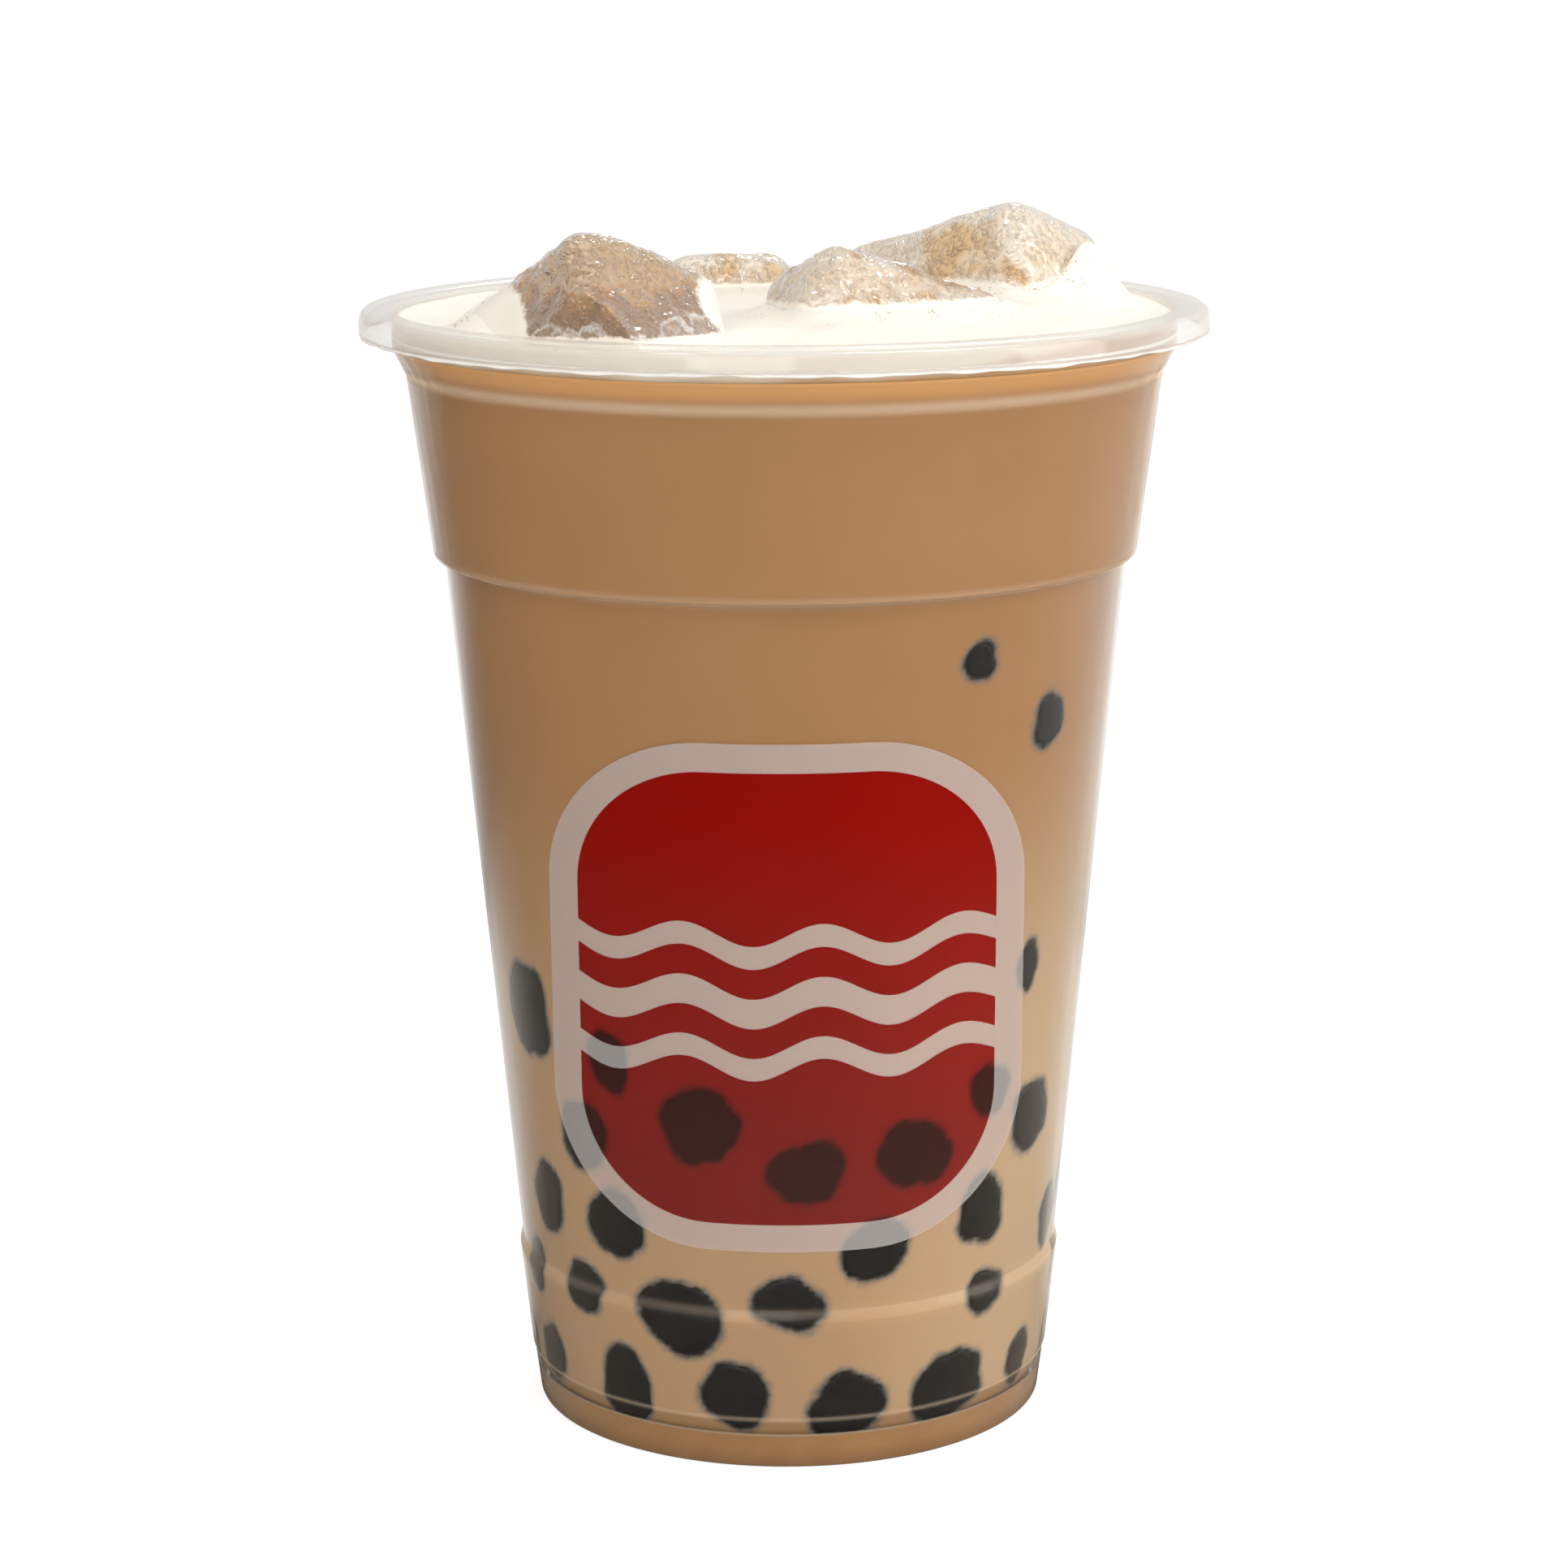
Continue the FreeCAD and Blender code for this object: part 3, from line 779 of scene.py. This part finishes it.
# ---- Milk tea ----
def make_tea(tapioca):
    """The drink up to the foam, with the depth of milk over the balls stored for its colour."""
    shift = {FLOOR: -INTO_WALL, 18.5: INTO_WALL, 99.7: -INTO_WALL}
    wall = [
        (r + INTO_WALL, z + shift.get(z, 0.0), min(rounding, 0.3)) for r, z, rounding in INNER_WALL
    ]
    wall[0] = (28.6 + INTO_WALL, TEA_FOOT, 0.1)
    corners = [(0.0, TEA_FOOT, 0.0)] + wall
    corners += [(MOUTH_RADIUS + INTO_WALL, FOAM_FOOT, 0.0), (0.0, FOAM_FOOT, 0.0)]
    line = rounded_line(corners, 0.7)
    # few rings are needed across the flat floor and the flat top
    line = np.array([
        p for p in line
        if 27.5 < p[0] and p[1] < FOAM_FOOT - 0.01 or abs(p[0] % 7.0) < 0.7 or p[0] < 1e-6
        or p[0] > MOUTH_RADIUS
    ])
    points, faces = turn_round(line, 384)
    tea = make_piece("milk_tea", points, faces, milk_tea(), "milk_tea")
    set_attribute(tea.data, "milk_depth", milk_depths(tea.data, tapioca))
    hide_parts("tea")


def milk_depths(mesh, tapioca):
    """How far each point of the tea's face is from a ball, in millimetres, up to 1."""
    tree = BVHTree.FromObject(tapioca, bpy.context.evaluated_depsgraph_get())
    depths = np.ones(len(mesh.vertices), np.float32)
    for index, vertex in enumerate(mesh.vertices):
        place = vertex.co
        if 0.003 < place.z < 0.1 and place.xy.length > 0.027:
            near = tree.find_nearest(place, 0.001)
            if near[0] is not None:
                depths[index] = near[3] / MM
    return depths


# ---- Foam and ice ----
def spun(turn):
    """The matrix of a turn given as yaw, pitch and roll in degrees."""
    return np.array(Euler([math.radians(a) for a in turn[::-1]], "XYZ").to_matrix())


def distance_to_ice(places, name):
    """Signed distance from points to the block of ice, negative inside it."""
    size, middle, turn = ICE[name]
    spin = spun(turn)
    local = (places - np.array(middle)) @ spin
    half = np.array(size) / 2 - ICE_ROUNDING
    beyond = np.abs(local) - half
    outside = np.linalg.norm(np.maximum(beyond, 0), axis=-1)
    inside = np.minimum(beyond.max(axis=-1), 0)
    return outside + inside - ICE_ROUNDING


def foam_height(x, y):
    """Height of the foam's surface, with waves and heaps, and how far each place is from ice."""
    places = np.stack([x, y, np.full_like(x, FOAM)], axis=-1)
    gaps = {name: distance_to_ice(places, name) for name in ICE}
    near = np.min(list(gaps.values()), axis=0)
    height = np.full_like(x, FOAM - 0.3)
    waves = [
        noise.fractal((a * 0.07, b * 0.07, 3.1), 1.0, 2.0, 3) for a, b in zip(x.ravel(), y.ravel())
    ]
    height += 0.4 * np.array(waves).reshape(x.shape)
    for name, gap in gaps.items():
        heap = ICE_LOOK[name][4]
        height += heap * np.exp(-np.maximum(gap, 0) / 3.0)
    height -= 2.3 * np.clip(-near / 1.5 - 0.5, 0, 1)  # no foam grows under the ice itself
    for across, back, tall, spread in SWELLS:
        away = np.hypot(x - across, y - back) / spread
        height += tall * np.exp(-1.7 * away ** 2)
    radius = np.hypot(x, y)
    height += 0.35 * np.exp(-(MOUTH_RADIUS - radius) / 1.2)
    at_wall = np.clip((radius - 36.0) / 6.0, 0, 1)
    height = np.where(height > FOAM, FOAM + (height - FOAM) * (1 - at_wall ** 2 * 0.9), height)
    return height, near


def make_foam():
    """The layer of foam: its side lies against the wall and its top follows foam_height."""
    segments, rings = 288, 84
    angles = np.arange(segments) * 2 * math.pi / segments
    side_radius = MOUTH_RADIUS + INTO_WALL
    radii = side_radius * (1 - np.linspace(0, 1, rings, endpoint=False)) ** 0.9
    x = radii[:, None] * np.sin(angles)
    y = -radii[:, None] * np.cos(angles)
    height, near = foam_height(x, y)
    top = np.stack([x, y, height], axis=-1).reshape(-1, 3)
    side = rounded_line([
        (0.0, FOAM_FOOT, 0.0), (30.0, FOAM_FOOT, 0.0), (side_radius, FOAM_FOOT, 0.0),
        (side_radius, 125.3, 0.0),
    ], 0.25)[1:]
    side = side[(side[:, 0] > 43.0) | (np.abs(side[:, 0] - 30) < 0.5)]
    side_points, faces = turn_round(side, segments)
    count = len(side_points)
    for row in range(-1, rings - 1):
        faces += ring_faces(count + row * segments, count + (row + 1) * segments, segments)
    total = count + len(top)
    peak, _ = foam_height(np.zeros(1), np.zeros(1))
    faces += cap_faces(total, total - segments, segments)
    faces += [face[::-1] for face in cap_faces(total + 1, 0, segments)]
    points = np.vstack([side_points, top, [[0, 0, peak[0]], [0, 0, FOAM_FOOT]]])
    foam = make_piece("cream_foam", points, faces, cream_foam(), "cream_foam")
    nearness = np.zeros(len(points))
    nearness[count:total] = np.exp(-np.maximum(near.ravel(), 0) / 2.4)
    set_attribute(foam.data, "near_ice", nearness)
    # the drink has soaked up into the foam along the wall, highest at the right
    around = np.degrees(np.arctan2(points[:, 0], -points[:, 1]))
    level = FOAM_FOOT + 1.1 + 2.4 * np.exp(-((around - 58) / 30) ** 2)
    level += 0.16 * np.sin(np.radians(around) * 9 + 1) + 0.1 * np.sin(np.radians(around) * 23)
    soaked = np.clip((level - points[:, 2]) / 1.3, 0, 1)
    soaked = np.maximum(soaked, 0.1)
    soaked[np.hypot(points[:, 0], points[:, 1]) < 43.0] = 0.0
    set_attribute(foam.data, "soaked", soaked)
    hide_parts("foam")


def foam_cover(places, name):
    """How thickly foam clings to points of a piece of ice: 1 at the foam, 0 well above it."""
    surface, _ = foam_height(places[:, 0], places[:, 1])
    cling = ICE_LOOK[name][3]
    cover = np.clip(1.0 - (places[:, 2] - surface) / cling, 0, 1)
    for *middle, reach in DRAPES:
        away = np.linalg.norm(places - np.array(middle), axis=1)
        cover = np.maximum(cover, np.clip((reach - away) / 2.2, 0, 1))
    return cover


def ice_relief(place, seed):
    """How far ice stands out of its plain block: slow waves, ripples and bubbles of 1.8 mm."""
    shifted = place + Vector((seed, 0, 0))
    waves = 0.55 * noise.fractal(shifted * 0.13, 1.0, 2.0, 2)
    ripples = 0.26 * noise.noise(shifted * 0.42) + 0.06 * noise.noise(shifted * 1.1)
    away = noise.voronoi(shifted * 0.55)[0][0]
    bubble = 0.1 * math.exp(-(away / 0.28) ** 2) - 0.08 * math.exp(-((away - 0.5) / 0.15) ** 2)
    return waves + ripples + bubble


def cube_grid(steps):
    """A cube of half size 1 whose sides are grids that are finer towards the edges."""
    bunching = math.pi / 2 * 0.94
    grid = np.sin(np.linspace(-1, 1, steps + 1) * bunching) / math.sin(bunching)
    points, faces, seen = [], [], {}
    for axis in range(3):
        for side in (-1.0, 1.0):
            names = [[None] * (steps + 1) for _ in range(steps + 1)]
            for i, u in enumerate(grid):
                for j, v in enumerate(grid):
                    place = np.roll((side, u, v), axis)
                    key = tuple(np.round(place, 6))
                    if key not in seen:
                        seen[key] = len(points)
                        points.append(place)
                    names[i][j] = seen[key]
            faces += [
                (names[i][j], names[i + 1][j], names[i + 1][j + 1], names[i][j + 1])
                for i in range(steps) for j in range(steps)
            ]
    return np.array(points), faces


def make_ice(name, cube, material):
    """A melted block: a rounded, tapered, pitted box, trimmed where it meets the wall."""
    size, middle, turn = ICE[name]
    half = np.array(size) / 2
    points, faces = cube
    shape = points * half
    core = np.clip(shape, -(half - ICE_ROUNDING), half - ICE_ROUNDING)
    away = shape - core
    length = np.linalg.norm(away, axis=1, keepdims=True)
    shape = core + away / np.maximum(length, TINY) * np.minimum(length, ICE_ROUNDING)
    narrowing = 1 - ICE_TAPER * (shape[:, 2:3] + half[2]) / half[:2].mean()
    shape[:, :2] *= narrowing
    normals = away / np.maximum(length, TINY)
    seed = sum(ord(letter) for letter in name) % 97
    relief = np.array([ice_relief(Vector(p), seed) for p in shape])
    relief *= 0.6 if "back" in name else 1.0
    spin = spun(turn)
    cover = foam_cover(shape @ spin.T + np.array(middle), name)
    swell, amber, edge_darkening, _, _ = ICE_LOOK[name]
    relief = relief * (1 - 0.8 * cover) + swell
    placed = (shape + normals * relief[:, None]) @ spin.T + np.array(middle)
    radius = np.hypot(placed[:, 0], placed[:, 1])
    room = np.interp(placed[:, 2], [99.7, NECK], [36.8, 41.3])
    placed[:, :2] *= np.minimum(1.0, room / np.maximum(radius, TINY))[:, None]
    # nothing stands higher than the construction does
    lower = min(1.0, (CAD_TOP - FOAM) / (placed[:, 2].max() - FOAM))
    placed[:, 2] = FOAM + (placed[:, 2] - FOAM) * np.where(placed[:, 2] > FOAM, lower, 1.0)
    ice = make_piece(name + "_block", placed, faces, material, "ice")
    set_attribute(ice.data, "foamed", cover)
    set_attribute(ice.data, "amber", np.full(len(placed), amber))
    # how near each point is to an edge of the block, where the darker line of painted shade goes
    beyond = np.sort(np.abs(away), axis=1)[:, 1] / ICE_ROUNDING
    set_attribute(ice.data, "edge", edge_darkening * np.clip(beyond * 1.6, 0, 1))
    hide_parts(name)


# ---- Label: a frosted film with red panes between plain waves ----
LABEL_WIDTH, LABEL_HEIGHT, LABEL_CORNER, LABEL_MIDDLE = 52.0, 58.0, 17.0, 55.1
LABEL_BORDER = 3.2
FILM_GAP, FILM_THICKNESS, PANE_THICKNESS = 0.015, 0.14, 0.12
WAVES = [(6.4, 2.6), (0.0, 3.4), (-6.4, 2.6)]  # height over the label's middle, and breadth


def half_height(x, width, height, corner):
    """Half the height of a rounded rectangle at a distance x from its middle."""
    into = np.clip(np.abs(x) - (width / 2 - corner), 0, corner)
    return height / 2 - corner + np.sqrt(np.maximum(corner ** 2 - into ** 2, 0))


def on_cup(x, z, lift):
    """Points of the body's outer face in front of (x, z), lifted off it."""
    radius = RING_RADIUS + (z - STACK) * (LEDGE_RADIUS - RING_RADIUS) / (LEDGE - STACK) + lift
    return np.stack([x, -np.sqrt(np.maximum(radius ** 2 - x ** 2, 0)), z], axis=-1)


def film_sheet(x, z, thickness, closed):
    """A sheet of film on the cup through a grid of places; a closed one runs round in a ring."""
    rows, columns = x.shape
    front, back = on_cup(x, z, thickness), on_cup(x, z, FILM_GAP)
    points = np.vstack([front.reshape(-1, 3), back.reshape(-1, 3)])
    behind = rows * columns
    faces = []
    for i in range(rows - 1):
        for j in range(columns if closed else columns - 1):
            a, b = i * columns + j, i * columns + (j + 1) % columns
            c, d = b + columns, a + columns
            faces += [(a, b, c, d), (behind + a, behind + d, behind + c, behind + b)]
    last = (rows - 1) * columns
    if closed:
        rims = [list(range(columns)), list(range(last, behind))]
    else:
        rims = [
            list(range(columns)) + [i * columns + columns - 1 for i in range(1, rows)]
            + list(range(behind - 2, last - 1, -1)) + [i * columns for i in range(rows - 2, 0, -1)]
        ]
    for rim in rims:
        for a, b in zip(rim, rim[1:] + rim[:1]):
            faces.append((a, behind + a, behind + b, b))
    return points, faces


def film_between(low, high, across, rows, thickness):
    """Film between two edges that are given as heights at each x of across."""
    share = np.linspace(0, 1, rows + 1)[:, None]
    z = low * (1 - share) + high * share
    return film_sheet(np.broadcast_to(across, z.shape), z, thickness, closed=False)


def joined(parts):
    points, faces, count = [], [], 0
    for some_points, some_faces in parts:
        points.append(some_points)
        faces += [tuple(count + k for k in face) for face in some_faces]
        count += len(some_points)
    return np.vstack(points), faces


def wave_edges(across, level, breadth):
    middle = LABEL_MIDDLE + level + 1.3 * np.sin(across * 2 * math.pi / 15.2)
    return middle - breadth / 2, middle + breadth / 2


def make_label():
    """A rounded film with a frosted border and waves, and red panes filling what is between."""
    field = (
        LABEL_WIDTH - 2 * LABEL_BORDER, LABEL_HEIGHT - 2 * LABEL_BORDER,
        LABEL_CORNER - LABEL_BORDER,
    )
    inner = field[0] / 2 * np.sin(np.linspace(-1, 1, 121) * math.pi / 2)
    low_edge = LABEL_MIDDLE - half_height(inner, *field)
    high_edge = LABEL_MIDDLE + half_height(inner, *field)
    bands = [wave_edges(inner, level, breadth) for level, breadth in WAVES]
    frosted = [film_between(low, high, inner, 4, FILM_THICKNESS) for low, high in bands]
    frosted.append(border_ring(field))
    between = [(low_edge, bands[2][0]), (bands[2][1], bands[1][0]), (bands[1][1], bands[0][0])]
    between.append((bands[0][1], high_edge))
    red = [film_between(low, high, inner, 14, PANE_THICKNESS) for low, high in between]
    sheet = make_piece("label_film", *joined(frosted), frosted_film(), "label_film", smooth=False)
    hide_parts("label")
    panes = make_piece("label_red_panes", *joined(red), red_vinyl(), "label_ink", smooth=False)
    for piece in (sheet, panes):
        piece.visible_shadow = False  # thin film scatters light on to the drink behind it


def outline(width, height, corner):
    """A rounded rectangle as (across, up) in even steps, the same number for every size."""
    line = []
    for quarter, (sx, sz) in enumerate(((1, 1), (-1, 1), (-1, -1), (1, -1))):
        middle = np.array([sx * (width / 2 - corner), sz * (height / 2 - corner)])
        for angle in np.linspace(0, math.pi / 2, 24, endpoint=True) + quarter * math.pi / 2:
            line.append(middle + corner * np.array([math.cos(angle), math.sin(angle)]))
    spread = []
    for a, b in zip(line, line[1:] + line[:1]):
        steps = 24 if np.linalg.norm(b - a) > 4 else 1
        spread += [a + (b - a) * k / steps for k in range(steps)]
    return np.array(spread)


def border_ring(field):
    """The frosted border as a closed band between the label's outline and the red field's."""
    outside, inside = outline(LABEL_WIDTH, LABEL_HEIGHT, LABEL_CORNER), outline(*field)
    share = np.linspace(0, 1, 5)[:, None, None]
    flat = outside[None] * (1 - share) + inside[None] * share
    return film_sheet(flat[..., 0], flat[..., 1] + LABEL_MIDDLE, FILM_THICKNESS, closed=True)


# ---- Floor, light and camera ----
def make_floor():
    """A pale studio floor: white to the camera apart from the cup's soft shadow."""
    material, tree, place = new_material("pale_studio_floor")
    path = add_node(tree, "ShaderNodeLightPath")
    away = add_node(tree, "ShaderNodeVectorMath", {0: place}, operation="LENGTH").outputs["Value"]
    far = ramp(tree, away, 0.12, 0.4, smooth=True)
    matt = add_node(tree, "ShaderNodeBsdfDiffuse", {"Color": linear("#D8D8D8")})
    near_glow = add_node(tree, "ShaderNodeEmission", {"Strength": 0.62})
    near = add_node(tree, "ShaderNodeAddShader", {0: matt.outputs[0], 1: near_glow.outputs[0]})
    white = add_node(tree, "ShaderNodeEmission", {"Strength": 1.0})
    shown = mix_shaders(tree, far, near, white)
    # mirrored in the cup: a white sweep behind and right, dark flags in front and left
    across = vector(tree, "DOT_PRODUCT", place, (0.5, 1.0, 0.0), output="Value")
    sweep = ramp(tree, across, 0.0, 0.4, 0.06, 1.2, smooth=True)
    close = ramp(tree, away, 0.16, 0.3, 1.0, 0.0, smooth=True)
    depth = along(tree, place, "Y")
    backward = calc(tree, "DIVIDE", depth, away)
    behind = ramp(tree, backward, 0.25, 0.7)
    close = times(tree, close, behind)
    bright = calc(tree, "MAXIMUM", sweep, close)
    mirrored = add_node(tree, "ShaderNodeEmission", {"Strength": bright})
    bounce = add_node(tree, "ShaderNodeBsdfDiffuse", {"Color": linear("#D0D0D0")})
    surface = mix_shaders(tree, path.outputs["Is Camera Ray"], bounce, shown)
    surface = mix_shaders(tree, path.outputs["Is Glossy Ray"], surface, mirrored)
    finished(material, surface)
    angles = np.arange(96) * 2 * math.pi / 96
    rim = np.stack([9000 * np.cos(angles), 9000 * np.sin(angles), np.zeros(96)], axis=-1)
    mesh = new_mesh("floor", rim, [tuple(range(96))])
    mesh.materials.append(material)
    add_object("floor", mesh)


def make_world():
    """A studio with a white backdrop: lit from the front right, dim to the left."""
    world = bpy.data.worlds.new("studio")
    bpy.context.scene.world = world
    world.use_nodes = True
    tree = world.node_tree
    tree.nodes.clear()
    path = add_node(tree, "ShaderNodeLightPath")
    toward = add_node(tree, "ShaderNodeTexCoord").outputs["Generated"]
    back = along(tree, toward, "Y")
    mirrored = ramp(tree, back, -0.75, 0.35, 0.05, 0.8, smooth=True)
    side = vector(tree, "DOT_PRODUCT", toward, (0.75, -0.64, 0.17), output="Value")
    room = ramp(tree, side, -0.7, 0.8, 0.064, 0.56, smooth=True)
    seen = calc(
        tree, "MAXIMUM", path.outputs["Is Camera Ray"], path.outputs["Is Transmission Ray"]
    )
    strength = mix_values(tree, seen, room, 1.0)
    strength = mix_values(tree, path.outputs["Is Glossy Ray"], strength, mirrored)
    sky = add_node(
        tree, "ShaderNodeBackground", {"Color": (1.0, 1.0, 1.0, 1.0), "Strength": strength}
    )
    add_node(tree, "ShaderNodeOutputWorld", {"Surface": sky.outputs[0]})


def add_lamp(name, place, aim, size, power):
    """A soft box: a rectangular area lamp at a place, turned to face the aim."""
    data = bpy.data.lights.new(name, "AREA")
    data.shape = "RECTANGLE"
    data.size, data.size_y = size
    data.energy = power
    lamp = add_object(name, data)
    lamp.location = place
    lamp.rotation_euler = (Vector(aim) - Vector(place)).to_track_quat("-Z", "Y").to_euler()
    lamp.visible_camera = False
    return lamp


def make_lights():
    middle = (0, 0, 0.07)
    add_lamp("key_right", (0.95, -0.2, 0.22), middle, (0.5, 0.8), 5.45)
    add_lamp("front", (-0.2, -1.0, 0.22), middle, (0.5, 0.8), 4.8)
    add_lamp("front_left", (-0.55, -0.9, 0.25), middle, (0.5, 0.8), 0.75)
    add_lamp("top", (-0.15, -0.1, 0.85), middle, (0.7, 0.5), 1.9)
    add_lamp("behind", (0.0, 1.05, 0.35), middle, (0.6, 0.8), 1.5).visible_glossy = False
    # small lamps high up, for the glints on the wet ice
    for name, place in (
        ("glint_left", (-0.35, -0.5, 0.75)),
        ("glint_right", (0.45, -0.35, 0.7)),
        ("glint_back", (0.1, 0.7, 0.6)),
    ):
        add_lamp(name, place, middle, (0.14, 0.14), 0.8)


def make_camera():
    data = bpy.data.cameras.new("camera")
    data.sensor_width = 36.0
    data.lens = 5055.6 / 1932 * 36.0
    data.clip_end = 50.0
    camera = add_object("camera", data)
    camera.location = (-0.000278, -0.46094, 0.17219)
    look = Euler((math.radians(90 - 12.29), 0, 0)).to_matrix()
    roll = Euler((0, 0, math.radians(ROLL))).to_matrix()
    camera.rotation_euler = (look @ roll).to_euler()
    bpy.context.scene.camera = camera


ROLL = -0.286  # degrees

make_cup()
tapioca = make_tapioca()
make_tea(tapioca)
make_foam()
ice_cube, ice_material = cube_grid(110), melting_ice()
for ice_name in ICE:
    make_ice(ice_name, ice_cube, ice_material)
make_label()
make_floor()
make_world()
make_lights()
make_camera()
bpy.context.scene.view_settings.view_transform = "Standard"
